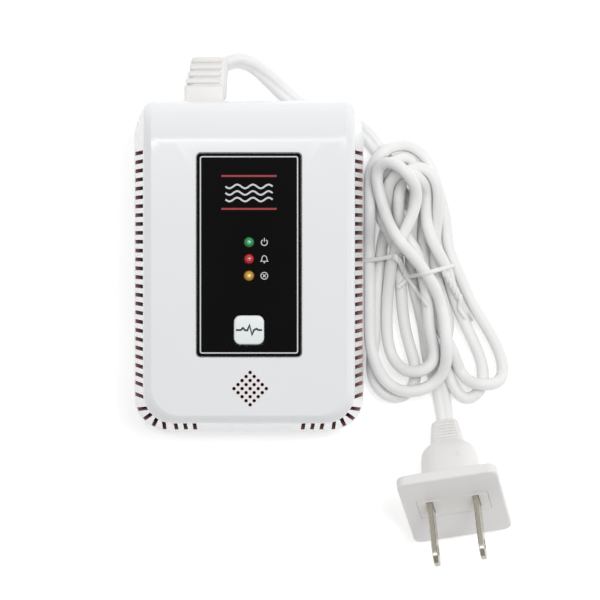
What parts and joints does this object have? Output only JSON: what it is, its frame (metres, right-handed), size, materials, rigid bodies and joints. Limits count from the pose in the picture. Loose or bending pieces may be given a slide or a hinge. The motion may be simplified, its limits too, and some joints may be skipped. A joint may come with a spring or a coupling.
{
  "type": "carbon monoxide detector",
  "caption": "White mains-powered gas alarm with vented case, black indicator panel, test button, strain relief, folded flat lead and two-blade plug.",
  "frame": {"origin": "centre of the case's flat back face, which lies on the wall or the table", "axes": "+Z out of the front face, +Y towards the case's top end where the lead leaves, +X to the right seen from the front"},
  "size_m": [0.1041, 0.1403, 0.0347],
  "materials": {
    "case_white": "satin gloss ABS with a fine moulded texture",
    "panel_black": "glossy black printed overlay",
    "print_white": "screen-printed ink",
    "print_red": "screen-printed ink",
    "print_dark": "screen-printed ink",
    "button_white": "satin gloss ABS",
    "lens_green": "tinted clear epoxy",
    "lens_red": "tinted clear epoxy",
    "lens_amber": "tinted clear epoxy",
    "black_plastic": "matte moulded plastic",
    "cord_white": "soft satin PVC",
    "plug_white": "soft satin PVC",
    "insert_grey": "satin moulded plastic",
    "tie_white": "plastic-covered wire",
    "blade_metal": "nickel-plated, lightly brushed",
    "steel": "zinc-plated",
    "core_steel": "varnished laminations",
    "board_green": "solder mask",
    "winding_tape": "polyester tape",
    "fuse_glass": "clear glass tube",
    "wire_brown": "PVC",
    "wire_blue": "PVC",
    "terminal_green": "moulded polyamide",
    "sensor_base": "phenolic moulding",
    "sensor_mesh": "fine stainless mesh",
    "ceramic": "sintered",
    "trimmer_blue": "moulded plastic"
  },
  "bodies": {
    "case": {"front_cover": "case_white", "rear_housing": "case_white", "label_panel": "panel_black", "led_power": "lens_green", "led_alarm": "lens_red", "led_fault": "lens_amber", "tact_switch": "black_plastic", "main_board": "board_green", "transformer_core": "core_steel", "transformer_winding": "winding_tape", "fuse": "fuse_glass", "fuse_clip_upper": "steel", "fuse_clip_lower": "steel", "filter_capacitor": "black_plastic", "output_capacitor": "black_plastic", "terminal_block": "terminal_green", "live_wire": "wire_brown", "neutral_wire": "wire_blue", "voltage_regulator": "black_plastic", "microcontroller": "black_plastic", "gas_sensor_base": "sensor_base", "gas_sensor_cap": "sensor_mesh", "gas_sensor_element": "ceramic", "buzzer": "black_plastic", "trimmer": "trimmer_blue", "case_screw_1": "steel", "case_screw_2": "steel", "case_screw_3": "steel", "case_screw_4": "steel", "board_screw_1": "steel", "board_screw_2": "steel", "board_screw_3": "steel", "board_screw_4": "steel", "cord_gland": "plug_white", "cord_lead": "cord_white", "cord_hank": "cord_white", "cord_tail": "cord_white", "twist_tie_left": "tie_white", "twist_tie_right": "tie_white", "plug_body": "plug_white", "plug_insert": "insert_grey", "plug_blade_left": "blade_metal", "plug_blade_right": "blade_metal"},
    "button": {"test_button": "button_white", "switch_plunger": "black_plastic"}
  },
  "joints": [
    {"name": "test_button_press", "type": "slide", "parent": "case", "child": "button", "axis": [0, 0, -1], "range_m": [0, 0.0008], "stiffness_N_per_m": 2000}
  ]
}
